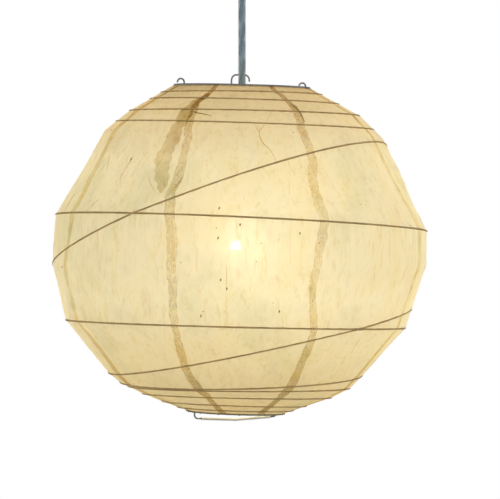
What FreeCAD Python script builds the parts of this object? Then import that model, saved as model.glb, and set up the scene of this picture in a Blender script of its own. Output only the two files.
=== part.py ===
import FreeCAD, Part
import os
from math import atan2, cos, pi, radians, sin, sqrt, tan
from FreeCAD import Vector

os.makedirs("parts", exist_ok=True)

# A round paper lantern with uneven wire ribs, hung on a lamp cord from a ceiling cup.
# Millimetres. The origin is the middle of the ceiling cup's top face, +Z up.
# The wire expander frame lies in the XZ plane. Heights on the lantern are given from its middle.

# ---- driving dimensions ----
LANTERN_Z = -300.0      # height of the lantern's middle
LANTERN_TURN = 26.0     # degrees from the frame's plane to the plane that the ribs' slants are given in

RIB_R = 0.7             # wire of the ribs
RING_R = 0.9            # wire of the top and bottom rings
FRAME_R = 0.8           # wire of the expander frame
PAPER_OFF = 1.9         # paper's inner face outside a rib's centreline
PAPER_T = 0.5           # thickness of a paper panel
GORES = 8
GORE_TURN = 24.4        # first seam, from the front
GORE_STEPS = 8          # sections across one panel
GORE_GAP = 0.12         # degrees left free at each side of a panel

# name: (height of centre, radius, offset right, offset back, rise to the right, rise to the front)
TOP_RING = (154.8, 64.1, 0.0, 0.0, -1.4, 0.0)
BOTTOM_RING = (-154.3, 45.6, -6.1, 0.0, -1.9, 0.0)
RIBS = {
    "rib_01": (147.9, 69.0, 0.4, 0.0, -1.0, 0.5),
    "rib_02": (140.3, 84.9, -0.4, 0.0, -1.8, 0.5),
    "rib_03": (129.2, 109.0, 2.4, 0.0, -1.3, 0.6),
    "rib_04": (117.7, 119.8, 1.9, 0.0, -1.9, 0.4),
    "rib_05": (41.4, 168.3, -20.9, 10.5, 19.7, 7.9),
    "rib_06": (25.2, 176.0, -0.6, 0.0, -2.6, 2.3),
    "rib_07": (-70.6, 161.0, -6.1, 0.0, -1.4, 0.75),
    "rib_08": (-86.3, 144.8, 14.8, 4.5, 12.1, -2.3),
    "rib_09": (-122.3, 115.0, -1.1, 2.0, 1.4, -2.4),
    "rib_10": (-130.6, 105.3, -3.0, 0.0, -0.6, 0.6),
    "rib_11": (-138.6, 89.7, -4.8, 0.0, -1.3, 1.2),
    "rib_12": (-146.3, 68.0, -8.0, 0.0, -2.0, 1.2),
    "rib_13": (-151.0, 54.0, -6.5, 0.0, -1.9, 0.6),
}
# folds of the paper that no wire backs
FOLDS = [
    (110.0, 131.0, 1.0, 0.0, -1.5, 0.4),
    (-14.0, 177.0, -2.4, 0.0, 0.0, 0.0),
    (-56.0, 162.7, -6.8, 0.0, 0.0, 0.0),
]
CORNER_GAP = 1.6        # least height between two corners of one paper section

FRAME_HALF = 43.2       # legs from the middle of the bottom ring
HOOK_HALF = 3.5         # half the width of a hook over the top ring
HOOK_RISE = 5.4
ROD_DROP = 5.2          # cross rod below the bottom ring
SLEEVE_R = 1.3          # plastic sleeve on the cross rod
SLEEVE_HALF = 36.0

BULB_Z = 4.0            # middle of the bulb's glass
BULB_R = 30.0
NECK_R = 12.2
CAP_R = 13.1            # screw cap of the bulb, over its thread
SHELL_R = 13.5          # bore of the lampholder's screw shell
HOLDER_R = 19.0
CORD_R = 3.5

CUP_R = 50.0
CUP_H = 40.0
CUP_T = 1.6
GRIP_DROP = 12.0        # cord grip below the cup
PIVOT_DROP = 6.0        # cord's bending point below the cup
SCREW_SPACING = 70.0    # fixing holes of the ceiling strap

RIGHT = Vector(cos(radians(LANTERN_TURN)), -sin(radians(LANTERN_TURN)), 0)
FRONT = Vector(-sin(radians(LANTERN_TURN)), -cos(radians(LANTERN_TURN)), 0)
UP = Vector(0, 0, 1)


def save(name, shape):
    if isinstance(shape, list):
        shape = Part.makeCompound(shape)
    for solid in shape.Solids:
        if not solid.isValid() or solid.Volume <= 0:
            print("BAD", name, solid.isValid(), solid.Volume)
    print(f"{name}: {len(shape.Solids)} solid, {shape.Volume:.1f} mm3")
    shape.exportStep(f"parts/{name}.step")


def at(x, y, height):
    """A point on the lantern, its height from the lantern's middle."""
    return Vector(x, y, LANTERN_Z + height)


def wire_through(points, bend):
    """A path of straight runs joined by tangent arcs of one radius."""
    edges = []
    start = points[0]
    for before, corner, after in zip(points, points[1:], points[2:]):
        a = (before - corner).normalize()
        b = (after - corner).normalize()
        half = a.getAngle(b) / 2
        reach = bend / tan(half)
        centre = corner + (a + b).normalize() * (bend / sin(half))
        first = corner + a * reach
        last = corner + b * reach
        middle = centre + (corner - centre).normalize() * bend
        edges.append(Part.LineSegment(start, first).toShape())
        edges.append(Part.Arc(first, middle, last).toShape())
        start = last
    edges.append(Part.LineSegment(start, points[-1]).toShape())
    return Part.Wire(edges)


def bent_wire(points, bend, radius):
    """A round wire along straight runs, with one radius at every bend."""
    profile = Part.Wire(Part.makeCircle(radius, points[0], points[1] - points[0]))
    return wire_through(points, bend).makePipeShell([profile], True, False)


def turned(points):
    """A solid turned about Z from (radius, height) corners."""
    outline = [Vector(r, 0, h) for r, h in points]
    face = Part.Face(Part.makePolygon(outline + outline[:1]))
    return face.revolve(Vector(0, 0, 0), UP, 360)


def tube(outer, inner, low, high):
    return turned([(inner, low), (outer, low), (outer, high), (inner, high)])


# ---- hoops ----
def hoop_plane(hoop):
    height, radius, right, back, rise_right, rise_front = hoop
    centre = RIGHT * right - FRONT * back + Vector(0, 0, LANTERN_Z + height)
    normal = UP - RIGHT * tan(radians(rise_right)) - FRONT * tan(radians(rise_front))
    return centre, normal.normalize(), radius


def hoop(spec, wire_r):
    centre, normal, radius = hoop_plane(spec)
    return Part.makeTorus(radius, wire_r, centre, normal)


def hoop_at(spec, azimuth):
    """(radius, height) where a hoop crosses the half plane at an azimuth about Z."""
    centre, normal, radius = hoop_plane(spec)
    ray = Vector(cos(azimuth), sin(azimuth), 0)
    low, high = 0.0, 400.0
    for _ in range(50):
        r = (low + high) / 2
        flat = ray * r
        z = centre.z - ((flat.x - centre.x) * normal.x + (flat.y - centre.y) * normal.y) / normal.z
        if (Vector(flat.x, flat.y, z) - centre).Length < radius:
            low = r
        else:
            high = r
    return r, z - LANTERN_Z


# ---- the paper ----
def spread(corners):
    """Keeps neighbouring corners a little apart in height, as where two ribs cross."""
    for _ in range(60):
        for i in range(1, len(corners)):
            (r0, z0), (r1, z1) = corners[i - 1], corners[i]
            short = CORNER_GAP - (z0 - z1)
            if short > 0.01:
                corners[i - 1] = (r0, z0 + short / 2)
                corners[i] = (r1, z1 - short / 2)


def stretch(corners):
    """Pulls the section tight: a corner that lies inside its neighbours' line moves out to it."""
    for i in range(1, len(corners) - 1):
        z = corners[i][1]
        reach = corners[i][0]
        for r0, z0 in corners[:i]:
            for r1, z1 in corners[i + 1 :]:
                reach = max(reach, r0 + (r1 - r0) * (z0 - z) / (z0 - z1))
        corners[i] = (reach, z)


def paper_corners(azimuth):
    """The corners of one upright section through the paper, from the top edge down."""
    inner = [hoop_at(h, azimuth) for h in list(RIBS.values()) + FOLDS]
    inner.sort(key=lambda corner: -corner[1])
    corners = [hoop_at(TOP_RING, azimuth)] + inner + [hoop_at(BOTTOM_RING, azimuth)]
    spread(corners)
    stretch(corners)
    return corners


def paper_section(azimuth):
    outer, inner = [], []
    for r, z in paper_corners(azimuth):
        size = sqrt(r * r + z * z)
        for side, off in ((inner, PAPER_OFF), (outer, PAPER_OFF + PAPER_T)):
            rr = r + off * r / size
            side.append(at(rr * cos(azimuth), rr * sin(azimuth), z + off * z / size))
    loop = outer + inner[::-1]
    return Part.makePolygon(loop + loop[:1])


def seam_azimuth(number):
    """Where a seam lies, as an angle about Z from +X."""
    front = atan2(FRONT.y, FRONT.x)
    return front + radians(GORE_TURN + number * 360 / GORES)


def gore(number):
    first = seam_azimuth(number) + radians(GORE_GAP)
    last = seam_azimuth(number + 1) - radians(GORE_GAP)
    step = (last - first) / GORE_STEPS
    sections = [paper_section(first + i * step) for i in range(GORE_STEPS + 1)]
    return Part.makeLoft(sections, True, True)


def make_shade():
    save("top_ring", hoop(TOP_RING, RING_R))
    save("bottom_ring", hoop(BOTTOM_RING, RING_R))
    for name, spec in RIBS.items():
        save(name, hoop(spec, RIB_R))
    for number in range(GORES):
        save(f"paper_panel_{number + 1}", gore(number))


# ---- the expander frame ----
def ring_height(spec, x):
    """Height of a ring's plane over a point of the frame's plane."""
    centre, normal, _ = hoop_plane(spec)
    flat = (x - centre.x) * normal.x - centre.y * normal.y
    return centre.z - flat / normal.z - LANTERN_Z


CROSS_HEIGHT = BULB_Z + 109.2    # eye of the cross wire, just above the lampholder
EYE_R = 9.6
ROD_HEIGHT = BOTTOM_RING[0] - ROD_DROP
ROD_BOW = 2.2                    # the rod's middle below its ends
FRAME_BEND = HOOK_HALF - 0.05
HOOK_TIP_GAP = 1.6               # a hook's open end above the top ring's centreline


def rod_point(x, drop=0.0):
    """A point of the rod under the bottom ring, x from the ring's middle."""
    centre, _, _ = hoop_plane(BOTTOM_RING)
    return at(centre.x + x, centre.y, ROD_HEIGHT - drop)


def leg_points(side):
    """One leg, from the rod up to the hook over the top ring."""
    ring_x = side * TOP_RING[1]
    ring_h = ring_height(TOP_RING, ring_x)
    hook_h = ring_h + HOOK_RISE
    return [
        rod_point(side * FRAME_HALF),
        at(side * FRAME_HALF, 0, CROSS_HEIGHT + 3),
        at(ring_x - side * HOOK_HALF, 0, ring_h - 6),
        at(ring_x - side * HOOK_HALF, 0, hook_h),
        at(ring_x + side * HOOK_HALF, 0, hook_h),
        at(ring_x + side * HOOK_HALF, 0, ring_h + HOOK_TIP_GAP),
    ]


def expander():
    """Both legs and the rod under the bottom ring, as one wire, and the bowed middle of the rod."""
    points = leg_points(-1)[::-1] + [rod_point(0, ROD_BOW)] + leg_points(1)
    return bent_wire(points, FRAME_BEND, FRAME_R)


def rod_sleeve():
    """A plastic sleeve on the rod, from leg to leg."""
    def along(half, radius):
        drop = ROD_BOW * (1 - half / FRAME_HALF)
        ends = [rod_point(-half, drop), rod_point(0, ROD_BOW), rod_point(half, drop)]
        return bent_wire(ends, FRAME_BEND, radius)

    return along(SLEEVE_HALF, SLEEVE_R).cut(along(SLEEVE_HALF + 1, FRAME_R + 0.02))


def cross_wire():
    """A wire from leg to leg with an eye round the cord, resting on the lampholder."""
    arm_r = FRAME_R - 0.1
    eye = Part.makeTorus(EYE_R, FRAME_R, at(0, 0, CROSS_HEIGHT), UP)
    reach = FRAME_HALF - 2 * FRAME_R - EYE_R
    left = Part.makeCylinder(arm_r, reach, at(-EYE_R - reach, 0, CROSS_HEIGHT), Vector(1, 0, 0))
    right = Part.makeCylinder(arm_r, reach, at(EYE_R, 0, CROSS_HEIGHT), Vector(1, 0, 0))
    return eye.fuse([left, right])


def hanging_hook():
    """An open hook that stands on the cross wire's eye and curls over behind the cord."""
    crown = TOP_RING[0] + 11.2
    points = [
        at(-7.5, 6.6, CROSS_HEIGHT + FRAME_R + 0.05),
        at(-7.5, 7.6, crown),
        at(11.5, 8.6, crown),
        at(12.5, 9.6, crown - 6.2),
    ]
    return bent_wire(points, 5.6, FRAME_R)


def make_frame():
    save("expander_wire", expander())
    save("rod_sleeve", rod_sleeve())
    save("cross_wire", cross_wire())
    save("hanging_hook", hanging_hook())


# ---- lampholder and bulb ----
def height(above_bulb):
    return LANTERN_Z + BULB_Z + above_bulb


def make_holder():
    floor = height(82)
    save("screw_shell", tube(SHELL_R + 0.4, SHELL_R, height(55), height(80)))
    save(
        "holder_core",
        turned(
            [
                (SHELL_R + 0.5, height(54)),
                (16.0, height(54)),
                (16.0, floor + 6),
                (0, floor + 6),
                (0, floor),
                (SHELL_R + 0.5, floor),
            ]
        ),
    )
    save("centre_contact", Part.makeBox(7, 3, 0.6, Vector(-3.5, -1.5, floor - 0.6)))
    screws = [
        Part.makeCylinder(2.0, 3.0, Vector(x, 0, floor + 6), UP) for x in (-9.0, 9.0)
    ]
    save("terminal_screws", screws)
    save(
        "holder_sleeve",
        turned(
            [
                (16.3, height(50)),
                (HOLDER_R + 1, height(50)),
                (HOLDER_R + 1, height(54)),
                (HOLDER_R, height(56)),
                (HOLDER_R, height(90)),
                (16.3, height(90)),
            ]
        ),
    )
    save(
        "holder_cap",
        turned(
            [
                (17.0, height(90)),
                (HOLDER_R, height(90)),
                (HOLDER_R, height(96)),
                (16.5, height(104)),
                (12.5, height(108)),
                (7.0, height(108)),
                (7.0, height(106)),
                (12.0, height(106)),
                (15.0, height(103)),
                (17.0, height(96)),
            ]
        ),
    )
    save(
        "cord_bushing",
        turned(
            [
                (CORD_R, height(104)),
                (9.0, height(104)),
                (9.0, height(106)),
                (7.0, height(106)),
                (7.0, height(112)),
                (5.0, height(118)),
                (CORD_R, height(118)),
            ]
        ),
    )


def bulb_outline():
    """Glass outline from the crown to the neck, as (radius, height above the glass's middle)."""
    round_part = [
        (BULB_R * cos(radians(a)), BULB_R * sin(radians(a))) for a in range(-80, 31, 10)
    ]
    neck = [(23.0, 22.0), (19.0, 31.0), (15.5, 40.0), (13.3, 48.0), (NECK_R, 54.0)]
    return [(0.0, -BULB_R)] + round_part + neck


def make_bulb():
    outer = [(r, height(h)) for r, h in bulb_outline()]
    inner = [(max(r - 0.9, 0), height(h + (0.9 if h < -29 else 0))) for r, h in bulb_outline()]
    inner[0] = (0, height(-BULB_R + 0.9))
    inner[-1] = (NECK_R - 0.9, height(54))
    save("bulb_glass", turned(outer + inner[::-1]))
    save(
        "bulb_cap",
        turned(
            [
                (NECK_R - 0.5, height(54)),
                (CAP_R, height(54)),
                (CAP_R, height(76)),
                (9.0, height(79)),
                (5.5, height(79)),
                (5.5, height(78)),
                (NECK_R - 0.5, height(75)),
            ]
        ),
    )
    save("bulb_insulator", tube(5.5, 2.5, height(78), height(80)))
    save("bulb_tip", Part.makeCylinder(2.5, 3.2, Vector(0, 0, height(78)), UP))
    stem = [(0, 8), (2.5, 8), (3.5, 40), (9.5, 54), (0, 54)]
    save("bulb_stem", turned([(r, height(h)) for r, h in stem]))
    save("bulb_filament", Part.makeTorus(9.0, 0.5, Vector(0, 0, height(7)), UP))


# ---- cord and ceiling fitting ----
CUP_BOTTOM = -CUP_H
PIVOT = CUP_BOTTOM - PIVOT_DROP
SCREW_HEIGHT = -9.0
SIDES = (-1, 1)


def make_cord():
    low = height(104)
    length = PIVOT - low
    cord = Part.makeCylinder(CORD_R, length, Vector(0, 0, low), UP)
    ball = Part.makeSphere(CORD_R, Vector(0, 0, PIVOT))
    save("power_cord", cord.fuse(ball).removeSplitter())
    print(f"cord: straight, no bends, {length:.1f} mm")
    print(f"cord: volume over section {cord.Volume / (pi * CORD_R ** 2):.1f} mm")
    tail_low = Vector(0, 0, PIVOT + CORD_R + 0.1)
    save("cord_tail", Part.makeCylinder(CORD_R - 0.65, 16.0, tail_low, UP))


def make_grip():
    """The cord grip under the cup, with a round seat that the cord swings in."""
    mouth = CUP_BOTTOM - GRIP_DROP
    outside = turned(
        [
            (0, mouth),
            (8.0, mouth),
            (9.5, CUP_BOTTOM - 3.0),
            (9.5, CUP_BOTTOM),
            (6.0, CUP_BOTTOM),
            (6.0, CUP_BOTTOM + 12.0),
            (0, CUP_BOTTOM + 12.0),
        ]
    )
    flare = turned([(0, mouth - 1), (5.6, mouth - 1), (CORD_R + 0.1, PIVOT), (0, PIVOT)])
    seat = Part.makeSphere(CORD_R + 0.06, Vector(0, 0, PIVOT))
    bore = Part.makeCylinder(CORD_R - 0.6, 30, Vector(0, 0, PIVOT), UP)
    save("cord_grip", outside.cut(flare).cut(seat).cut(bore))
    save("grip_nut", tube(10.0, 6.05, CUP_BOTTOM + CUP_T, CUP_BOTTOM + CUP_T + 4))


def ceiling_cup():
    return turned(
        [
            (6.1, CUP_BOTTOM),
            (38.0, CUP_BOTTOM),
            (46.0, CUP_BOTTOM + 4),
            (CUP_R, CUP_BOTTOM + 14),
            (CUP_R, -0.2),
            (CUP_R - CUP_T, -0.2),
            (CUP_R - CUP_T, CUP_BOTTOM + 14.6),
            (45.2, CUP_BOTTOM + 5.4),
            (37.5, CUP_BOTTOM + CUP_T),
            (6.1, CUP_BOTTOM + CUP_T),
        ]
    )


def ceiling_strap():
    """A flat strap with two fixing holes, its ends bent down inside the cup."""
    half = CUP_R - CUP_T - 0.4
    thick = 1.5
    strap = Part.makeBox(2 * half, 20, thick, Vector(-half, -10, -thick))
    for side in SIDES:
        low = half - thick if side > 0 else -half
        strap = strap.fuse(Part.makeBox(thick, 12, 14, Vector(low, -6, -14)))
        strap = strap.cut(Part.makeCylinder(2.2, 4, Vector(side * SCREW_SPACING / 2, 0, -3), UP))
    round_edge = Part.makeCylinder(half, 20, Vector(0, 0, -18), UP)
    return strap.common(round_edge).removeSplitter()


def side_screw(side):
    """One screw through the cup's wall into the strap's end."""
    out = Vector(side, 0, 0)
    shank = Part.makeCylinder(1.5, 5.0, Vector(side * (CUP_R - 4.4), 0, SCREW_HEIGHT), out)
    head = Part.makeCylinder(3.0, 1.6, Vector(side * (CUP_R + 0.05), 0, SCREW_HEIGHT), out)
    return shank.fuse(head).removeSplitter()


def make_ceiling():
    out = Vector(1, 0, 0)
    reach = CUP_R + 4
    screw_hole = Part.makeCylinder(1.55, 2 * reach, Vector(-reach, 0, SCREW_HEIGHT), out)
    save("ceiling_cup", ceiling_cup().cut(screw_hole))
    save("ceiling_strap", ceiling_strap().cut(screw_hole))
    save("cup_screws", [side_screw(side) for side in SIDES])
    save("terminal_block", Part.makeBox(22, 11, 12, Vector(-11, -5.5, -13.6)))


make_shade()
make_frame()
make_holder()
make_bulb()
make_cord()
make_grip()
make_ceiling()
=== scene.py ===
import math
import random

import bpy
import numpy as np
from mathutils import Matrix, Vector


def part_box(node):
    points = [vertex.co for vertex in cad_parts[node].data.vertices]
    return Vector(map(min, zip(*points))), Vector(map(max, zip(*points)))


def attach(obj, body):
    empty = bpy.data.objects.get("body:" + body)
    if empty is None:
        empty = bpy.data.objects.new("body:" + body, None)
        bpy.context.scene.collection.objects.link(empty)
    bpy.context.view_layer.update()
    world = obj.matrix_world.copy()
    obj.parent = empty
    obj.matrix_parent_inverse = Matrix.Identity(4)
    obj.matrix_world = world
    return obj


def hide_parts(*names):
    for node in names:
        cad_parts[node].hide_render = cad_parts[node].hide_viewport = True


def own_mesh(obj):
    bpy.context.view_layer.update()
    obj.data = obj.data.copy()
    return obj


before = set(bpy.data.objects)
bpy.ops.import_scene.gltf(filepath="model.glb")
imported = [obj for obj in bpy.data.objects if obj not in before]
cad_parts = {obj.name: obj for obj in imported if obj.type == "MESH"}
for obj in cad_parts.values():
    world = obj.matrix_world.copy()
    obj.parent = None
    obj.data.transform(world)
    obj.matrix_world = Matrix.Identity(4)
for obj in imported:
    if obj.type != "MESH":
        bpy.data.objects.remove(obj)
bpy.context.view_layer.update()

# A lit paper lantern on a cord. Metres, in the CAD frame: the lantern hangs below the origin, and the
# expander frame lies in the XZ plane.

LANTERN_Z = -0.300       # height of the lantern's middle
TURN = math.radians(26)  # from the frame's plane to the plane that the shade's slants are given in
PANELS = 8
FIRST_SEAM = math.radians(24.4)  # from the front
COLUMNS = 480            # upright sections through the paper
ROW = 0.0036             # height of a paper face
CORNER_GAP = 0.0012      # least height between two corners of one section
RIB_WIRE = 0.00085       # radius of a rib with the paper glued over it
SEAM_WIDTH = 0.0088

# folds of the paper that no wire backs: height, radius, shift to the right, rise to the right
FOLDS = (
    (0.1100, 0.1310, 0.0010, -1.5),
    (-0.0140, 0.1770, -0.0024, 0.0),
    (-0.0560, 0.1627, -0.0068, 0.0),
)

RIGHT = Vector((math.cos(TURN), -math.sin(TURN), 0))
FRONT = Vector((-math.sin(TURN), -math.cos(TURN), 0))
FRONT_ANGLE = math.atan2(FRONT.y, FRONT.x)
START = FRONT_ANGLE + FIRST_SEAM  # the first panel's edge, as an angle about Z

BULB_R = 0.030
BULB_MIDDLE = Vector((0, 0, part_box("bulb_glass")[0][2] + BULB_R))
CORD_R = 0.0035
TAIL_GAP = 0.0008  # cord's end below the tail, so that it can tilt

rng = random.Random(11)


# ---------------------------------------------------------------- materials
def material(name):
    m = bpy.data.materials.new(name)
    m.use_nodes = True
    m.node_tree.nodes.clear()
    return m


def node(m, kind, links=(), **values):
    """Adds a node. links is ((socket, output), ...), values set properties or sockets by name."""
    n = m.node_tree.nodes.new(kind)
    for key, value in values.items():
        if hasattr(n, key):
            setattr(n, key, value)
        else:
            n.inputs[key.replace("_", " ")].default_value = value
    for socket, output in links:
        m.node_tree.links.new(output, n.inputs[socket])
    return n


def noise(m, where, scale, detail=4.0, rough=0.55, distortion=0.0):
    return node(
        m, "ShaderNodeTexNoise", [("Vector", where)],
        Scale=scale, Detail=detail, Roughness=rough, Distortion=distortion,
    ).outputs["Fac"]


def stretch(m, where, scale):
    return node(m, "ShaderNodeMapping", [("Vector", where)], Scale=scale).outputs[0]


def ramp(m, fac, stops):
    r = node(m, "ShaderNodeValToRGB", [("Fac", fac)])
    elements = r.color_ramp.elements
    while len(elements) < len(stops):
        elements.new(0.5)
    for e, (place, colour) in zip(elements, stops):
        e.position = place
        e.color = (*colour, 1) if isinstance(colour, tuple) else (colour, colour, colour, 1)
    return r.outputs["Color"]


def blend_colours(m, fac, a, b, mode="MIX"):
    n = node(m, "ShaderNodeMix", data_type="RGBA", blend_type=mode)
    for index, value in ((0, fac), (6, a), (7, b)):
        if isinstance(value, (int, float)):
            n.inputs[index].default_value = value
        elif isinstance(value, tuple):
            n.inputs[index].default_value = (*value, 1)
        else:
            m.node_tree.links.new(value, n.inputs[index])
    return n.outputs[2]


def bump(m, height, distance, strength=1.0):
    return node(
        m, "ShaderNodeBump", [("Height", height)], Distance=distance, Strength=strength
    ).outputs[0]


def finish_material(m, shader):
    node(m, "ShaderNodeOutputMaterial", [("Surface", shader)])
    return m


def paper_material(name, tone, clear, mottle=1.0, patchy=0.0):
    """Handmade paper that a lamp shines through: long fibres, cloudy thickness, a little see-through.

    clear is the share of light that goes straight through, and patchy adds to it in uneven patches.
    """
    m = material(name)
    where = node(m, "ShaderNodeTexCoord").outputs["Object"]
    clouds = noise(m, where, 16.0, 5.0, 0.6)
    streaks = noise(m, stretch(m, where, (1.0, 1.0, 0.30)), 34.0, 4.0, 0.6, 0.8)
    flecks = noise(m, stretch(m, where, (1, 1, 0.35)), 210.0, 3.0, 0.6)
    fibres = noise(m, stretch(m, where, (1.0, 1.0, 0.16)), 150.0, 5.0, 0.7, 1.4)
    fine = noise(m, where, 1500.0, 3.0, 0.6)
    # darker towards the top and bottom edges: more paper layers there, and painted shade of the edge-on
    # paper and of the lampholder blocking the lamp
    up_down = node(m, "ShaderNodeSeparateXYZ", [("Vector", where)]).outputs["Z"]
    edge = node(
        m, "ShaderNodeMapRange", [("Value", up_down)],
        From_Min=LANTERN_Z - HALF_HEIGHT, From_Max=LANTERN_Z + HALF_HEIGHT, To_Min=0.0, To_Max=1.0,
    ).outputs["Result"]
    end_tone = ramp(m, edge, END_LAYERS_AND_SHADE)
    colour = blend_colours(m, 1.0, tone, end_tone, "MULTIPLY")
    cloud_tone = ramp(
        m, clouds, [(0.32, (0.88, 0.90, 0.86)), (0.50, (1.0, 1.0, 1.0)), (0.72, (1.0, 0.96, 0.87))]
    )
    colour = blend_colours(m, 0.8 * mottle, colour, cloud_tone, "MULTIPLY")
    streak_tone = ramp(
        m, streaks, [(0.30, (0.93, 0.91, 0.90)), (0.48, (1.0, 1.0, 1.0)), (0.70, (0.97, 0.95, 0.84))]
    )
    colour = blend_colours(m, 0.8 * mottle, colour, streak_tone, "MULTIPLY")
    fibre_tone = ramp(
        m, fibres, [
            (0.36, (0.91, 0.86, 0.74)), (0.46, (1.0, 1.0, 1.0)),
            (0.66, (1.0, 1.0, 1.0)), (0.80, (0.90, 0.88, 0.76)),
        ]
    )
    colour = blend_colours(m, 0.75 * mottle, colour, fibre_tone, "MULTIPLY")
    fleck_tone = ramp(m, flecks, [(0.30, (0.90, 0.86, 0.74)), (0.45, (1.0, 1.0, 1.0))])
    colour = blend_colours(m, 0.5 * mottle, colour, fleck_tone, "MULTIPLY")
    relief = node(m, "ShaderNodeMath", [(0, fibres), (1, fine)], operation="ADD").outputs[0]
    normal = bump(m, relief, 0.0004, 0.5)
    through = node(m, "ShaderNodeBsdfTranslucent", [("Color", colour), ("Normal", normal)])
    front = node(m, "ShaderNodeBsdfDiffuse", [("Color", colour), ("Normal", normal)])
    body = node(m, "ShaderNodeMixShader", [(1, through.outputs[0]), (2, front.outputs[0])], Fac=0.42)
    wide = node(m, "ShaderNodeBsdfRefraction", [("Color", colour)], Roughness=1.0, IOR=1.7)
    narrow = node(m, "ShaderNodeBsdfRefraction", Color=(1.0, 0.97, 0.88, 1), Roughness=1.0, IOR=1.17)
    glow = node(m, "ShaderNodeMixShader", [(1, body.outputs[0]), (2, wide.outputs[0])], Fac=WIDE_GLOW)
    soft = node(m, "ShaderNodeMixShader", [(1, glow.outputs[0]), (2, narrow.outputs[0])], Fac=NARROW_GLOW)
    straight = node(m, "ShaderNodeBsdfTransparent", [("Color", colour)])
    sheet = node(m, "ShaderNodeMixShader", [(1, soft.outputs[0]), (2, straight.outputs[0])], Fac=clear)
    if patchy:
        thin = noise(m, stretch(m, where, (1.0, 1.0, 0.45)), 95.0, 4.0, 0.65)
        share = ramp(m, thin, [(0.34, clear), (0.62, clear + patchy)])
        m.node_tree.links.new(share, sheet.inputs["Fac"])
    return finish_material(m, sheet.outputs[0])


def plain_surface(name, colour, rough, metal=0.0, vary=0.12, grain=300.0, relief=0.00004, **more):
    """A worn, slightly uneven surface over a Principled shader."""
    m = material(name)
    where = node(m, "ShaderNodeTexCoord").outputs["Object"]
    patches = noise(m, where, grain * 0.12, 4.0, 0.6)
    grains = noise(m, where, grain, 4.0, 0.65)
    dark = tuple(c * (1 - vary) for c in colour)
    light = tuple(min(1.0, c * (1 + vary * 0.6)) for c in colour)
    tone = blend_colours(m, ramp(m, patches, [(0.3, 0.0), (0.7, 1.0)]), dark, light)
    rough_map = node(
        m, "ShaderNodeMapRange", [("Value", grains)],
        From_Min=0.3, From_Max=0.7, To_Min=rough * 0.8, To_Max=min(1.0, rough * 1.25),
    ).outputs["Result"]
    normal = bump(m, grains, relief, 0.6)
    shader = node(
        m, "ShaderNodeBsdfPrincipled",
        [("Base Color", tone), ("Roughness", rough_map), ("Normal", normal)],
        Metallic=metal, **more,
    )
    return finish_material(m, shader.outputs[0])


def frosted_glass():
    """The bulb's frosted glass, lit from within."""
    m = material("bulb_frosted_glass")
    where = node(m, "ShaderNodeTexCoord").outputs["Object"]
    frost = noise(m, where, 900.0, 2.0, 0.5)
    tone = ramp(m, frost, [(0.3, (0.86, 0.74, 0.50)), (0.7, (1.0, 0.88, 0.64))])
    light = node(m, "ShaderNodeEmission", [("Color", tone)], Strength=BULB_GLOW)
    clear = node(m, "ShaderNodeBsdfTransparent", Color=(0.98, 0.97, 0.95, 1))
    both = node(m, "ShaderNodeMixShader", [(1, light.outputs[0]), (2, clear.outputs[0])], Fac=0.85)
    return finish_material(m, both.outputs[0])


def glowing(name, colour, strength):
    m = material(name)
    where = node(m, "ShaderNodeTexCoord").outputs["Object"]
    flicker = ramp(m, noise(m, where, 700.0, 2.0), [(0.3, tuple(c * 0.85 for c in colour)), (0.7, colour)])
    light = node(m, "ShaderNodeEmission", [("Color", flicker)], Strength=strength)
    return finish_material(m, light.outputs[0])


def clear_sheath():
    m = material("clear_sheath")
    where = node(m, "ShaderNodeTexCoord").outputs["Object"]
    haze = noise(m, stretch(m, where, (1, 1, 0.2)), 400.0, 3.0)
    normal = bump(m, haze, 0.00005, 0.4)
    rough = ramp(m, haze, [(0.3, 0.12), (0.7, 0.26)])
    shader = node(
        m, "ShaderNodeBsdfPrincipled", [("Normal", normal), ("Roughness", rough)],
        Base_Color=(0.74, 0.87, 0.95, 1), Transmission_Weight=0.82, IOR=1.40,
    )
    return finish_material(m, shader.outputs[0])


BULB_GLOW = 0.4
WIDE_GLOW = 0.055    # shares of the light that the paper bends only a little
NARROW_GLOW = 0.007
HALF_HEIGHT = 0.155
# how much the paper lets through from the bottom edge to the top: darker near the ends, partly because more
# layers overlap there and partly as painted shade where the paper turns edge-on and, at the top, where the
# lampholder blocks the lamp
END_LAYERS_AND_SHADE = [
    (0.0, (0.66, 0.60, 0.49)), (0.07, (0.80, 0.74, 0.63)), (0.17, (0.90, 0.86, 0.78)),
    (0.35, (1.0, 1.0, 1.0)),
    (0.78, (0.97, 0.96, 0.94)), (0.90, (0.90, 0.84, 0.76)), (1.0, (0.74, 0.64, 0.52)),
]

PAPER = paper_material("lantern_paper", (0.93, 0.87, 0.70), 0.03)
SEAM_PAPER = paper_material("seam_paper", (0.94, 0.90, 0.82), 0.58, mottle=1.0, patchy=0.34)
OUTER_SEAM_PAPER = paper_material("outer_seam_paper", (0.97, 0.93, 0.80), 0.84, mottle=1.0, patchy=0.30)
# the sheet laid over the fold's darker band on the left front panel: painted shade of the fold
FOLD_SHADE_PAPER = paper_material("fold_shade_paper", (0.92, 0.88, 0.81), 0.86, mottle=1.2, patchy=0.34)
HEM_PAPER = paper_material("hem_paper", (0.62, 0.61, 0.57), 0.01)
# the paper over a rib: its brown is partly the rib seen through the paper and partly painted shadow where
# the rib blocks the lamp's light
RIB_TONE_AND_SHADOW = plain_surface("paper_over_rib_and_shadow", (0.53, 0.36, 0.15), 0.75, vary=0.25, grain=500.0)
WIRE = plain_surface("frame_steel", (0.30, 0.31, 0.32), 0.36, 1.0, vary=0.2, grain=800.0)
SLEEVE = plain_surface("sleeve_plastic", (0.80, 0.78, 0.68), 0.45, vary=0.2, grain=500.0)
FIBRE = plain_surface("plant_fibre", (0.46, 0.27, 0.09), 0.8, vary=0.3, grain=900.0)
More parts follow.
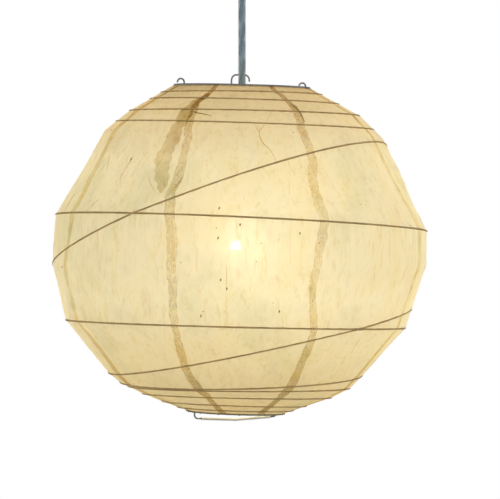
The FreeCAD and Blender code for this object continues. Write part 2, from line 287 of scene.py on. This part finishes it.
# the pale and orange fibre colours also draw the crease lines, and there they are painted shade of the folds
PALE_FIBRE_AND_CREASE_SHADE = plain_surface("pale_fibre", (0.88, 0.72, 0.40), 0.8, vary=0.2, grain=900.0)
ORANGE_FIBRE_AND_CREASE_SHADE = plain_surface("orange_fibre_and_crease_shade", (0.85, 0.52, 0.16), 0.8, vary=0.25, grain=900.0)
CUP_PAINT = plain_surface("cup_paint", (0.84, 0.84, 0.82), 0.34, vary=0.04, grain=260.0)
ZINC = plain_surface("zinc_steel", (0.60, 0.61, 0.62), 0.30, 1.0, vary=0.18, grain=420.0)
WHITE_PLASTIC = plain_surface("moulded_plastic", (0.82, 0.82, 0.79), 0.38, vary=0.05, grain=500.0)
DARK_PLASTIC = plain_surface("holder_phenolic", (0.055, 0.050, 0.048), 0.35, vary=0.15, grain=500.0)
PORCELAIN = plain_surface("insulator_ceramic", (0.80, 0.79, 0.74), 0.5, vary=0.08, grain=350.0)
BRASS = plain_surface("brass", (0.78, 0.58, 0.26), 0.3, 1.0, vary=0.2, grain=500.0)
CAP_METAL = plain_surface("bulb_cap_metal", (0.74, 0.74, 0.75), 0.26, 1.0, vary=0.15, grain=450.0)
BLACK_GLASS = plain_surface("black_glass", (0.03, 0.025, 0.03), 0.15, vary=0.2, grain=300.0)
STEM_GLASS = plain_surface(
    "stem_glass", (0.88, 0.90, 0.90), 0.12, vary=0.05, grain=300.0, Transmission_Weight=0.8
)
CORE_GREY = plain_surface("core_insulation", (0.27, 0.37, 0.43), 0.5, vary=0.15, grain=400.0)
CORE_PALE = plain_surface("core_insulation_pale", (0.52, 0.62, 0.67), 0.5, vary=0.12, grain=400.0)
GLASS = frosted_glass()
FILAMENT = glowing("filament_glow", (1.0, 0.93, 0.74), 60.0)
SHEATH = clear_sheath()


# ---------------------------------------------------------------- mesh helpers
def mesh_piece(name, points, faces, body, finish, smooth=True):
    mesh = bpy.data.meshes.new(name)
    mesh.from_pydata([tuple(p) for p in points], [], faces)
    mesh.validate()
    mesh.update()
    if smooth:
        mesh.shade_smooth()
    piece = bpy.data.objects.new(name, mesh)
    bpy.context.scene.collection.objects.link(piece)
    mesh.materials.append(finish)
    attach(piece, body)
    return piece


def tube_faces(rings, sides, closed):
    faces = []
    for i in range(rings if closed else rings - 1):
        j = (i + 1) % rings
        for k in range(sides):
            n = (k + 1) % sides
            faces.append((i * sides + k, i * sides + n, j * sides + n, j * sides + k))
    if not closed:
        faces.append(tuple(reversed(range(sides))))
        faces.append(tuple((rings - 1) * sides + k for k in range(sides)))
    return faces


def tube_points(path, radii, sides, closed):
    """Rings of points round a path. radii is one radius per point of the path."""
    count = len(path)
    points = []
    side = None
    for i, p in enumerate(path):
        before = path[i - 1] if i or closed else path[0]
        after = path[(i + 1) % count] if i < count - 1 or closed else path[-1]
        along = (after - before).normalized()
        if side is None:
            side = along.orthogonal().normalized()
        side = (side - along * side.dot(along)).normalized()
        other = along.cross(side)
        for k in range(sides):
            a = 2 * math.pi * k / sides
            points.append(p + (side * math.cos(a) + other * math.sin(a)) * radii[i])
    return points


def tube(name, path, radii, sides, body, finish, closed=False):
    points = tube_points(path, radii, sides, closed)
    return mesh_piece(name, points, tube_faces(len(path), sides, closed), body, finish)


def lathe(name, profile, steps, body, finish, twist=None):
    """A turned shape. profile is [(radius, height)], and twist(angle, height) adds to the radius."""
    points = []
    for i in range(steps):
        a = 2 * math.pi * i / steps
        for r, z in profile:
            rr = r + (twist(a, z) if twist else 0.0)
            points.append((rr * math.cos(a), rr * math.sin(a), z))
    n = len(profile)
    faces = []
    for i in range(steps):
        j = (i + 1) % steps
        for k in range(n):
            m = (k + 1) % n
            faces.append((i * n + k, j * n + k, j * n + m, i * n + m))
    return mesh_piece(name, points, faces, body, finish)


# ---------------------------------------------------------------- the shade's shape
def hoop_of(name):
    """Middle, normal and radius of a round hoop, from its CAD solid."""
    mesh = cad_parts[name].data
    points = np.array([v.co[:] for v in mesh.vertices])
    middle = (points.max(axis=0) + points.min(axis=0)) / 2
    _, _, axes = np.linalg.svd(points - points.mean(axis=0), full_matrices=False)
    normal = Vector(axes[2])
    if normal.z < 0:
        normal.negate()
    radius = np.linalg.norm(points - middle, axis=1)
    return Vector(middle), normal, float((radius.max() + radius.min()) / 2)


def fold_hoop(fold):
    height, radius, right, rise = fold
    normal = (Vector((0, 0, 1)) - RIGHT * math.tan(math.radians(rise))).normalized()
    return RIGHT * right + Vector((0, 0, LANTERN_Z + height)), normal, radius


def cut(hoop, azimuth):
    """(radius, height) where a hoop crosses the half plane at an azimuth about Z."""
    middle, normal, radius = hoop
    ray = Vector((math.cos(azimuth), math.sin(azimuth), 0))
    rise = -(ray.x * normal.x + ray.y * normal.y) / normal.z
    base = middle.z + (middle.x * normal.x + middle.y * normal.y) / normal.z
    # |ray*r - middle|^2 = radius^2, with the height on the hoop's plane
    a = 1 + rise * rise
    b = -2 * (ray.x * middle.x + ray.y * middle.y) + 2 * rise * (base - middle.z)
    c = middle.x**2 + middle.y**2 + (base - middle.z) ** 2 - radius**2
    r = (-b + math.sqrt(b * b - 4 * a * c)) / (2 * a)
    return r, base + rise * r


RIBS = {f"rib_{i:02d}": hoop_of(f"rib_{i:02d}") for i in range(1, 14)}
TOP = hoop_of("top_ring")
BOTTOM = hoop_of("bottom_ring")
INNER = list(RIBS.values()) + [fold_hoop(f) for f in FOLDS]


def spread(corners):
    for _ in range(60):
        for i in range(1, len(corners)):
            short = CORNER_GAP - (corners[i - 1][1] - corners[i][1])
            if short > 0.00001:
                corners[i - 1][1] += short / 2
                corners[i][1] -= short / 2


def pull_tight(corners):
    """A corner inside its neighbours' line moves out to it, as stretched paper does."""
    for i in range(1, len(corners) - 1):
        z = corners[i][1]
        for r0, z0, _ in corners[:i]:
            for r1, z1, _ in corners[i + 1 :]:
                corners[i][0] = max(corners[i][0], r0 + (r1 - r0) * (z0 - z) / (z0 - z1))


def section(azimuth):
    """Corners [radius, height, hoop number] of one upright section, from the top edge down."""
    inner = [[*cut(h, azimuth), i] for i, h in enumerate(INNER)]
    inner.sort(key=lambda corner: -corner[1])
    corners = [[*cut(TOP, azimuth), -1]] + inner + [[*cut(BOTTOM, azimuth), -2]]
    spread(corners)
    pull_tight(corners)
    return corners


def column_angle(i):
    return START + 2 * math.pi * i / COLUMNS


SECTIONS = [section(column_angle(i)) for i in range(COLUMNS)]


def wave(a, z, seed):
    """A smooth uneven number between about -1 and 1 for a place on the shade."""
    total = 0.0
    for k in range(1, 5):
        total += math.sin(k * 3 * a + seed * k * 1.7 + 9 * z * k) * math.cos(37 * z * k + seed * 2.3 * k) / k
    return total / 1.6


def slack(a, z, to_corner):
    """How far the paper stands in or out between two ribs. to_corner is 0 at a rib and 1 midway."""
    pleats = math.sin(56 * a + 2.2 * math.sin(5 * a + 30 * z)) * 0.00022
    height = z - LANTERN_Z
    return to_corner * (0.0011 * wave(a, height, 1.3) + 0.0005 * wave(2.3 * a, 2 * height, 4.1)) + pleats


def column_radius(i, z):
    corners = SECTIONS[i % COLUMNS]
    for (r0, z0, _), (r1, z1, _) in zip(corners, corners[1:]):
        if z >= z1:
            t = min(max((z0 - z) / (z0 - z1), 0.0), 1.0)
            span = min((z0 - z1) / 0.03, 1.0)
            return r0 + (r1 - r0) * t + slack(column_angle(i), z, math.sin(math.pi * t) * span)
    return corners[-1][0]


def on_paper(azimuth, z, lift=0.0):
    """A point on the paper, lifted off it along the outward direction."""
    place = ((azimuth - START) % (2 * math.pi)) / (2 * math.pi) * COLUMNS
    i = int(place)
    t = place - i
    r = column_radius(i, z) * (1 - t) + column_radius(i + 1, z) * t
    out = Vector((r * math.cos(azimuth), r * math.sin(azimuth), (z - LANTERN_Z) * 1.2)).normalized()
    return Vector((r * math.cos(azimuth), r * math.sin(azimuth), z)) + out * lift


def top_height(azimuth):
    return cut(TOP, azimuth)[1]


def bottom_height(azimuth):
    return cut(BOTTOM, azimuth)[1]


def folds(piece):
    """Gives the piece a mesh of its own."""
    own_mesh(piece)


# ---------------------------------------------------------------- paper
def paper_column(i, rows):
    """Points down one column of the paper, with rows of faces between its corners."""
    corners = SECTIONS[i % COLUMNS]
    a = column_angle(i % COLUMNS)
    ray = Vector((math.cos(a), math.sin(a), 0))
    points = []
    for (r0, z0, _), (r1, z1, _), steps in zip(corners, corners[1:], rows):
        span = min((z0 - z1) / 0.03, 1.0)
        for s in range(steps):
            t = s / steps
            z = z0 + (z1 - z0) * t
            r = r0 + (r1 - r0) * t + slack(a, z, math.sin(math.pi * t) * span)
            points.append(ray * r + Vector((0, 0, z)))
    return points + [ray * corners[-1][0] + Vector((0, 0, corners[-1][1]))]


def make_paper():
    count = len(SECTIONS[0])
    heights = [sum(s[k][1] - s[k + 1][1] for s in SECTIONS) / COLUMNS for k in range(count - 1)]
    rows = [max(2, min(22, round(h / ROW))) for h in heights]
    tall = sum(rows) + 1
    wide = COLUMNS // PANELS
    for number in range(PANELS):
        points = []
        for i in range(number * wide, (number + 1) * wide + 1):
            points += paper_column(i, rows)
        faces = []
        for i in range(wide):
            for k in range(tall - 1):
                n = i * tall + k
                faces.append((n, n + 1, n + tall + 1, n + tall))
        paper = mesh_piece(f"paper_gore_{number + 1}", points, faces, "shade", PAPER)
        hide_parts(f"paper_panel_{number + 1}")
        folds(paper)


def make_ribs():
    for number, name in enumerate(RIBS):
        path = []
        radii = []
        for i in range(0, COLUMNS, 2):
            a = column_angle(i)
            r, z = next((r, z) for r, z, which in SECTIONS[i] if which == number)
            path.append(Vector((r * math.cos(a), r * math.sin(a), z)))
            radii.append(RIB_WIRE * (1 + 0.10 * wave(3 * a, z, number)))
        rib = tube(f"{name}_wrapped", path, radii, 8, "shade", RIB_TONE_AND_SHADOW, closed=True)
        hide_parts(name)
        folds(rib)


# ---------------------------------------------------------------- seams
# where the two front seams wander off their meridians, as (height from the lantern's middle, degrees)
WANDER = {
    0: (
        (0.150, 0.1), (0.143, 2.6), (0.135, 3.6), (0.122, 2.3), (0.110, 1.1), (0.097, 2.0), (0.084, 2.1),
        (0.064, 0.3), (0.046, 0.5), (0.030, 1.2), (0.016, 0.3), (0.0, -0.9), (-0.029, -2.1), (-0.086, 0.9),
        (-0.110, 0.2), (-0.133, -1.1), (-0.150, -1.9),
    ),
    7: (
        (0.150, -0.7), (0.137, -4.6), (0.126, -2.9), (0.103, -1.0), (0.082, -0.8), (0.066, -1.3),
        (0.055, -2.5), (0.040, -1.7), (0.016, -0.4), (-0.012, -0.5), (-0.072, -1.6), (-0.107, -2.6),
        (-0.135, 0.6), (-0.150, 0.0),
    ),
}
# a second sheet beside the left front seam, laid where a fold darkens the paper: painted shade of the fold,
# as (height, degrees from the front, half its width)
FOLD_SHADE = (
    (0.146, -23.0, 0.0020), (0.137, -26.4, 0.0040), (0.126, -27.4, 0.0048), (0.110, -27.4, 0.0046),
    (0.098, -28.6, 0.0052), (0.082, -29.6, 0.0058), (0.069, -27.6, 0.0050), (0.060, -27.0, 0.0034),
    (0.053, -26.4, 0.0012),
)


def between(marks, height):
    """Values at a height, eased between marks that run downwards."""
    if height >= marks[0][0]:
        return marks[0][1:]
    for upper, lower in zip(marks, marks[1:]):
        if height >= lower[0]:
            t = (upper[0] - height) / (upper[0] - lower[0])
            t = t * t * (3 - 2 * t)
            return tuple(u + (v - u) * t for u, v in zip(upper[1:], lower[1:]))
    return marks[-1][1:]


def wander(number, z):
    """How far a seam is off its meridian at a height, in radians."""
    if number not in WANDER:
        return math.radians(1.8 * math.sin(21 * z + number * 2.1) + 1.0 * math.sin(47 * z + number))
    return math.radians(between(WANDER[number], z)[0])


def seam_angle(number, height):
    return FRONT_ANGLE + FIRST_SEAM + number * 2 * math.pi / PANELS + wander(number, height)


def strip(name, middle, half_width, heights, lift, finish, across=5):
    """A ragged strip of paper down the shade. middle gives radians at a height, half_width metres."""
    points = []
    for h in heights:
        z = LANTERN_Z + h
        a = middle(h)
        z = min(max(z, bottom_height(a) + 0.0006), top_height(a) - 0.0006)
        r = on_paper(a, z).xy.length
        for k in range(across):
            u = -1 + 2 * k / (across - 1)
            w = half_width(h, 1 if u > 0 else -1) * u
            points.append(on_paper(a + w / r, z, lift * (1 - 0.5 * abs(u))))
    faces = []
    for i in range(len(heights) - 1):
        for k in range(across - 1):
            n = i * across + k
            faces.append((n, n + across, n + across + 1, n + 1))
    piece = mesh_piece(name, points, faces, "shade", finish)
    folds(piece)
    return piece


# seams with a thinner overlap, at the two sides
FAINT_SEAMS = (1, 6)
FOLD_SHADE_SPREAD = 1.45  # how far the fold's shade band spreads past its marks


def make_seams():
    heights = [0.1545 - i * 0.0013 for i in range(238)]
    for number in range(PANELS):
        phase = number * 1.9

        def half_width(h, side):
            ragged = 0.09 * math.sin(190 * h + phase * side) + 0.07 * math.sin(523 * h + 2 * phase + side)
            broad = 0.16 * math.sin(31 * h + phase)
            near_end = 0.72 if abs(h) > 0.135 else 1.0
            return SEAM_WIDTH / 2 * (1 + broad + ragged) * near_end

        paper = OUTER_SEAM_PAPER if number in FAINT_SEAMS else SEAM_PAPER
        strip(f"seam_band_{number + 1}", lambda h: seam_angle(number, h), half_width, heights, 0.0004, paper)

    # the fold's darker band on the left front panel: a second sheet laid over the paper, as painted shade of
    # the fold
    def fold_shade_width(h, side):
        ragged = 0.14 * math.sin(310 * h + side) + 0.10 * math.sin(770 * h - side)
        return FOLD_SHADE_SPREAD * between(FOLD_SHADE, h)[1] * (1 + ragged)

    heights = [FOLD_SHADE[0][0] - i * 0.0011 for i in range(85)]
    strip(
        "fold_shade_band", lambda h: FRONT_ANGLE + math.radians(between(FOLD_SHADE, h)[0]),
        fold_shade_width, heights, 0.0007, FOLD_SHADE_PAPER,
    )


# ---------------------------------------------------------------- hems
def make_hem(name, hoop, body, low, high, out):
    """The paper's edge folded over a ring, as a low band with an uneven lower edge."""
    steps = 240
    points = []
    for i in range(steps):
        a = 2 * math.pi * i / steps
        r, z = cut(hoop, a)
        ragged = 0.0004 * math.sin(31 * a) + 0.0003 * math.sin(77 * a + 1)
        ray = Vector((math.cos(a), math.sin(a), 0))
        points.append(ray * (r + out * 0.2) + Vector((0, 0, z + high)))
        points.append(ray * (r + out) + Vector((0, 0, z + (high + low) / 2)))
        points.append(ray * (r + out * 1.15) + Vector((0, 0, z + low + ragged)))
    faces = []
    for i in range(steps):
        j = (i + 1) % steps
        for k in range(2):
            faces.append((i * 3 + k, i * 3 + k + 1, j * 3 + k + 1, j * 3 + k))
    piece = mesh_piece(name, points, faces, body, HEM_PAPER)
    return piece


# ---------------------------------------------------------------- fibres and specks
def fibre(name, marks, width, finish, lift=0.0005):
    """A plant fibre on the paper, through (degrees right of the front, height) marks."""
    path = []
    radii = []
    steps = 8
    for i in range(len(marks) - 1):
        p0 = marks[max(i - 1, 0)]
        p1 = marks[i]
        p2 = marks[i + 1]
        p3 = marks[min(i + 2, len(marks) - 1)]
        for s in range(steps + (i == len(marks) - 2)):
            t = s / steps
            azimuth, height = (
                0.5 * (
                    2 * b + (c - a) * t + (2 * a - 5 * b + 4 * c - d) * t * t
                    + (3 * b - a - 3 * c + d) * t**3
                )
                for a, b, c, d in zip(p0, p1, p2, p3)
            )
            path.append(on_paper(FRONT_ANGLE + math.radians(azimuth), LANTERN_Z + height, lift))
            whole = (i + t) / (len(marks) - 1)
            radii.append(width * (0.35 + 0.65 * math.sin(math.pi * min(max(whole, 0.06), 0.94))))
    piece = tube(name, path, radii, 5, "shade", finish)
    folds(piece)


def fibre_cluster(name, items, finish):
    """Many short fibres or specks as one piece. items are (azimuth, height, length, lean, width)."""
    points = []
    faces = []
    for azimuth, height, length, lean, width in items:
        path = []
        for s in range(6):
            t = s / 5 - 0.5
            bend = 0.18 * length * (t * t - 0.25) * math.cos(37 * azimuth)
            up = t * length * math.cos(lean) - bend * math.sin(lean)
            side = t * length * math.sin(lean) + bend * math.cos(lean)
            z = LANTERN_Z + height + up
            r = on_paper(azimuth, z).xy.length
            path.append(on_paper(azimuth + side / r, z, 0.0003))
        radii = [width * f for f in (0.3, 0.8, 1.0, 1.0, 0.8, 0.3)]
        start = len(points)
        points += tube_points(path, radii, 4, False)
        faces += [tuple(start + k for k in f) for f in tube_faces(6, 4, False)]
    piece = mesh_piece(name, points, faces, "shade", finish)
    folds(piece)


def scattered(count, longest, width, steep):
    items = []
    for _ in range(count):
        azimuth = rng.uniform(0, 2 * math.pi)
        height = math.asin(rng.uniform(-0.93, 0.93)) / (math.pi / 2) * 0.150
        length = longest * rng.uniform(0.25, 1.0)
        lean = rng.gauss(0.0, steep)
        height = min(max(height, -0.142 + length / 2), 0.140 - length / 2)
        items.append((azimuth, height, length, lean, width * rng.uniform(0.6, 1.2)))
    return items


# single fibres, and crease lines whose colour is painted shade of folds in the paper: (degrees from the
# front, height) marks, radius and finish
FIBRES = {
    "brown_fibre_1": (((-25.4, 0.130), (-22.9, 0.128), (-18.7, 0.1266), (-14.3, 0.1248)), 0.00050, FIBRE),
    "brown_fibre_2": (((-25.6, 0.133), (-25.2, 0.128), (-24.4, 0.125)), 0.00042, FIBRE),
    "long_fibre": (
        ((14.4, 0.1285), (10.1, 0.1175), (7.2, 0.109), (8.2, 0.0995), (10.7, 0.0928), (12.6, 0.0824)),
        0.00030, ORANGE_FIBRE_AND_CREASE_SHADE,
    ),
    "long_fibre_branch": (((5.9, 0.115), (6.4, 0.112), (7.3, 0.109)), 0.00026, ORANGE_FIBRE_AND_CREASE_SHADE),
    # a dark brown line beside the right front seam, drawn in the fibre colour
    "dark_line": (((27.6, 0.1360), (28.6, 0.1320), (29.0, 0.1270), (28.6, 0.1190)), 0.00072, FIBRE),
    # crease lines: these darker strips are painted shade of the folds
    "crease_shade_1": (((-43.0, 0.0885), (-44.4, 0.078), (-45.4, 0.068), (-43.3, 0.058)), 0.00030, PALE_FIBRE_AND_CREASE_SHADE),
    "crease_shade_2": (((-58.0, 0.089), (-56.2, 0.082), (-53.8, 0.0738)), 0.00030, PALE_FIBRE_AND_CREASE_SHADE),
    "crease_shade_3": (((-69.8, 0.053), (-70.6, 0.045), (-70.8, 0.0368)), 0.00036, PALE_FIBRE_AND_CREASE_SHADE),
    "crease_shade_4": (((-51.4, 0.0485), (-53.4, 0.042), (-55.9, 0.034)), 0.00034, PALE_FIBRE_AND_CREASE_SHADE),
    "crease_shade_5": (((-49.0, 0.100), (-50.4, 0.091), (-52.6, 0.084)), 0.00028, PALE_FIBRE_AND_CREASE_SHADE),
    "crease_shade_6": (((-33.4, 0.070), (-30.6, 0.060), (-27.0, 0.051)), 0.00032, PALE_FIBRE_AND_CREASE_SHADE),
    "crease_shade_7": (((-20.0, 0.069), (-21.6, 0.060), (-23.6, 0.052)), 0.00040, ORANGE_FIBRE_AND_CREASE_SHADE),
    "drip_fibre": (((-4.4, -0.010), (-4.5, -0.018), (-4.6, -0.026), (-4.7, -0.033)), 0.00030, PALE_FIBRE_AND_CREASE_SHADE),
}
# specks that show near the lamp: (degrees from the front, height)
LAMP_SPECKS = (
    (-7.0, 0.013), (-6.3, -0.025), (-6.8, 0.040), (-0.4, 0.025), (17.5, 0.017), (12.0, -0.054),
    (-13.0, -0.058), (-44.0, 0.085), (-4.5, -0.033),
)


def make_fibres():
    for name, (marks, radius, finish) in FIBRES.items():
        fibre(name, marks, radius, finish)
    fibre_cluster("pale_fibres", scattered(210, 0.024, 0.00013, 0.5), PALE_FIBRE_AND_CREASE_SHADE)
    fibre_cluster("plant_flecks", scattered(90, 0.0024, 0.00024, 0.9), PALE_FIBRE_AND_CREASE_SHADE)
    spots = [(FRONT_ANGLE + math.radians(a), h, 0.0026, 0.3, 0.0007) for a, h in LAMP_SPECKS]
    fibre_cluster("dark_specks", spots + scattered(36, 0.0022, 0.00040, 1.2), FIBRE)


# ---------------------------------------------------------------- bulb and lampholder
def make_bulb():
    low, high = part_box("bulb_cap")
    pitch = (high[2] - low[2]) / 7.0
    outer = high[0]
    profile = [(outer - 0.0011, low[2])]
    rows = 44
    thread_top = high[2] - 0.005
    for i in range(rows + 1):
        profile.append((outer - 0.0006, low[2] + 0.001 + (thread_top - low[2] - 0.001) * i / rows))
    profile += [(outer - 0.0026, high[2] - 0.0024), (0.0092, high[2] - 0.0004)]
    profile += [(0.0056, high[2]), (0.0056, high[2] - 0.0012)]
    profile += [(outer - 0.0034, high[2] - 0.0045), (outer - 0.0030, low[2])]

    def thread(a, z):
        if not low[2] + 0.0015 < z < thread_top - 0.0008:
            return 0.0
        return 0.00055 * math.sin(2 * math.pi * (z - low[2]) / pitch - a)

    cap = lathe("bulb_screw_cap", profile, 96, "bulb", CAP_METAL, thread)
    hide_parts("bulb_cap")


def make_filament():
    """A zigzag filament between two support wires, in place of the plain ring."""
    off_axis = 0.006
    middle = BULB_MIDDLE - RIGHT * off_axis
    reach = 0.0050
    rise = 0.0042
    count = 10
    steps = 6
    marks = [Vector((reach * (2 * i / count - 1), 0, rise * (1 if i % 2 else -1))) for i in range(count + 1)]
    path = []
    for a, b in zip(marks, marks[1:]):
        path += [middle + a.lerp(b, s / steps) for s in range(steps)]
    path.append(middle + marks[-1])
    coil = tube("filament_coil", path, [0.0007] * len(path), 8, "bulb", FILAMENT)
    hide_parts("bulb_filament")


def finish_nodes():
    finishes = {
        "expander_wire": WIRE, "rod_sleeve": SLEEVE, "cross_wire": WIRE, "hanging_hook": WIRE,
        "top_ring": WIRE, "bottom_ring": WIRE,
        "ceiling_cup": CUP_PAINT, "ceiling_strap": ZINC, "cup_screws": ZINC, "grip_nut": ZINC,
        "cord_grip": WHITE_PLASTIC, "terminal_block": WHITE_PLASTIC, "cord_tail": CORE_PALE,
        "cord_bushing": DARK_PLASTIC, "holder_cap": DARK_PLASTIC, "holder_sleeve": DARK_PLASTIC,
        "holder_core": PORCELAIN, "screw_shell": BRASS, "centre_contact": BRASS, "terminal_screws": BRASS,
        "bulb_glass": GLASS, "bulb_insulator": BLACK_GLASS, "bulb_tip": CAP_METAL, "bulb_stem": STEM_GLASS,
    }
    for name, finish in finishes.items():
        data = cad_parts[name].data
        data.materials.clear()
        data.materials.append(finish)


# ---------------------------------------------------------------- cord
def make_cord():
    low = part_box("cord_bushing")[1][2] - 0.014
    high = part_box("cord_tail")[0][2] - TAIL_GAP
    # the route hangs straight: its two ends and a few heights between
    route = [(0, 0, low + (high - low) * t) for t in (0.0, 0.25, 0.5, 0.75, 1.0)]
    curve = bpy.data.curves.new("cord_sheath", "CURVE")
    curve.dimensions = "3D"
    spline = curve.splines.new("NURBS")
    spline.points.add(len(route) - 1)
    for point, place in zip(spline.points, route):
        point.co = (*place, 1)
    spline.order_u = 3
    spline.use_endpoint_u = True
    curve.bevel_depth = CORD_R
    curve.bevel_resolution = 6
    curve.use_fill_caps = True
    cord = bpy.data.objects.new("cord_sheath", curve)
    bpy.context.scene.collection.objects.link(cord)
    curve.materials.append(SHEATH)
    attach(cord, "pendant")
    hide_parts("power_cord")
    core_r = 0.00125
    core_off = 0.00126  # from the cord's axis
    twist = 0.034       # length of one turn of the cores
    cap = 0.0006        # sheath past the cores at each end
    for side, finish in ((0, CORE_GREY), (1, CORE_PALE)):
        path = []
        steps = 90
        for i in range(steps + 1):
            z = low + cap + (high - low - 2 * cap) * i / steps
            a = math.pi * side + (z - low) / twist * 2 * math.pi
            path.append(Vector((core_off * math.cos(a), core_off * math.sin(a), z)))
        core = tube(f"cord_core_{side + 1}", path, [core_r] * len(path), 10, "pendant", finish)


# ---------------------------------------------------------------- camera, light and stage
def make_camera():
    distance = 3.9
    view_width = 0.475  # metres across the picture at the lantern
    sensor = 36.0
    drop = math.radians(0.84)
    aim = Vector((0, 0, LANTERN_Z)) + RIGHT * 0.0076
    back = FRONT * math.cos(drop) + Vector((0, 0, math.sin(drop)))
    camera = bpy.data.objects.new("camera", bpy.data.cameras.new("camera"))
    bpy.context.scene.collection.objects.link(camera)
    camera.data.sensor_width = sensor
    camera.data.lens = sensor * distance / view_width
    camera.location = aim + back * distance
    camera.rotation_euler = (-back).to_track_quat("-Z", "Y").to_euler()
    camera.data.clip_end = 60
    bpy.context.scene.camera = camera


def area_light(name, place, aim, size, power, colour):
    data = bpy.data.lights.new(name, "AREA")
    data.size = size
    data.energy = power
    data.color = colour
    light = bpy.data.objects.new(name, data)
    bpy.context.scene.collection.objects.link(light)
    light.location = place
    light.rotation_euler = (Vector(aim) - Vector(place)).to_track_quat("-Z", "Y").to_euler()


def make_lights():
    lamp = bpy.data.lights.new("lamp_light", "POINT")
    lamp.energy = 1.30
    lamp.color = (1.0, 0.95, 0.73)
    lamp.shadow_soft_size = 0.012
    source = bpy.data.objects.new("lamp_light", lamp)
    bpy.context.scene.collection.objects.link(source)
    source.location = BULB_MIDDLE
    middle = Vector((0, 0, LANTERN_Z))
    key_place = middle + FRONT * 2.2 + RIGHT * 0.9 + Vector((0, 0, 1.2))
    area_light("key", key_place, middle, 1.6, 8.0, (1, 0.99, 0.97))
    fill_place = middle + FRONT * 1.8 - RIGHT * 1.8 + Vector((0, 0, 0.2))
    area_light("fill", fill_place, middle, 1.8, 2.0, (0.97, 0.99, 1))
    for side in (-1, 1):
        side_place = middle + RIGHT * (2.2 * side) - FRONT * 0.5
        area_light(f"side_{side}", side_place, middle, 1.4, 5.0, (0.84, 0.94, 1))
    world = bpy.data.worlds.new("studio")
    bpy.context.scene.world = world
    world.use_nodes = True
    tree = world.node_tree
    tree.nodes.clear()
    out = tree.nodes.new("ShaderNodeOutputWorld")
    lit = tree.nodes.new("ShaderNodeBackground")
    lit.inputs["Strength"].default_value = 0.42
    seen = tree.nodes.new("ShaderNodeBackground")
    seen.inputs["Strength"].default_value = 1.0
    for shade in (lit, seen):
        shade.inputs["Color"].default_value = (1, 1, 1, 1)
    ray = tree.nodes.new("ShaderNodeLightPath")
    mix = tree.nodes.new("ShaderNodeMixShader")
    tree.links.new(ray.outputs["Is Camera Ray"], mix.inputs[0])
    tree.links.new(lit.outputs[0], mix.inputs[1])
    tree.links.new(seen.outputs[0], mix.inputs[2])
    tree.links.new(mix.outputs[0], out.inputs["Surface"])


def make_floor():
    mesh = bpy.data.meshes.new("floor")
    half = 6.0
    low = -1.6
    corners = [(-half, -half, low), (half, -half, low), (half, half, low), (-half, half, low)]
    mesh.from_pydata(corners, [], [(0, 1, 2, 3)])
    floor = bpy.data.objects.new("floor", mesh)
    bpy.context.scene.collection.objects.link(floor)
    paint = plain_surface("floor_paint", (0.86, 0.86, 0.85), 0.7, vary=0.01, grain=20.0, relief=0.0001)
    mesh.materials.append(paint)


make_camera()
make_cord()
make_paper()
make_ribs()
make_seams()
make_hem("top_hem", TOP, "shade", -0.0030, -0.0004, 0.0016)
make_hem("bottom_hem", BOTTOM, "shade_foot", -0.0006, 0.0022, 0.0014)
make_fibres()
make_bulb()
make_filament()
finish_nodes()
make_lights()
make_floor()
bpy.context.scene.view_settings.view_transform = "Standard"
